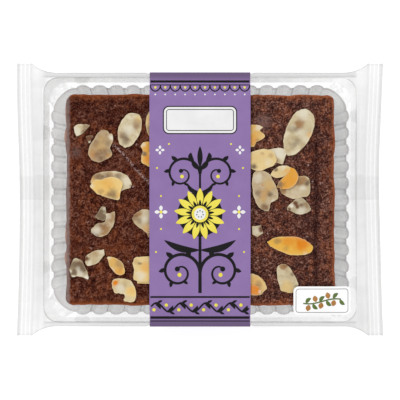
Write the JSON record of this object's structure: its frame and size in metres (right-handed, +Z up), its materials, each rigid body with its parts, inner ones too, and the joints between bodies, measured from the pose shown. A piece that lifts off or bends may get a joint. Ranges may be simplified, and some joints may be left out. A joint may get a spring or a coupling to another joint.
{
  "type": "packed filled speculaas slab",
  "caption": "Flat baked slab with almond flakes in a fluted tray, sealed in clear film with a printed band round its middle.",
  "frame": {"origin": "middle of the underside, on the surface that the pack lies on", "axes": "+X along the pack towards its right end seal, +Y towards its upper long side, +Z up through the top"},
  "size_m": [0.2044, 0.1518, 0.0235],
  "materials": {
    "clear_film": "clear thin film with crimped seals",
    "band_paper": "printed satin paper",
    "label_paper": "satin label paper",
    "clear_tray": "clear thermoformed sheet",
    "baked_slab": "dark baked crumb",
    "almond_flake": "pale and toasted almond"
  },
  "bodies": {
    "root": {"film_pack": "clear_film", "printed_band": "band_paper", "corner_label": "label_paper"}
  },
  "joints": []
}
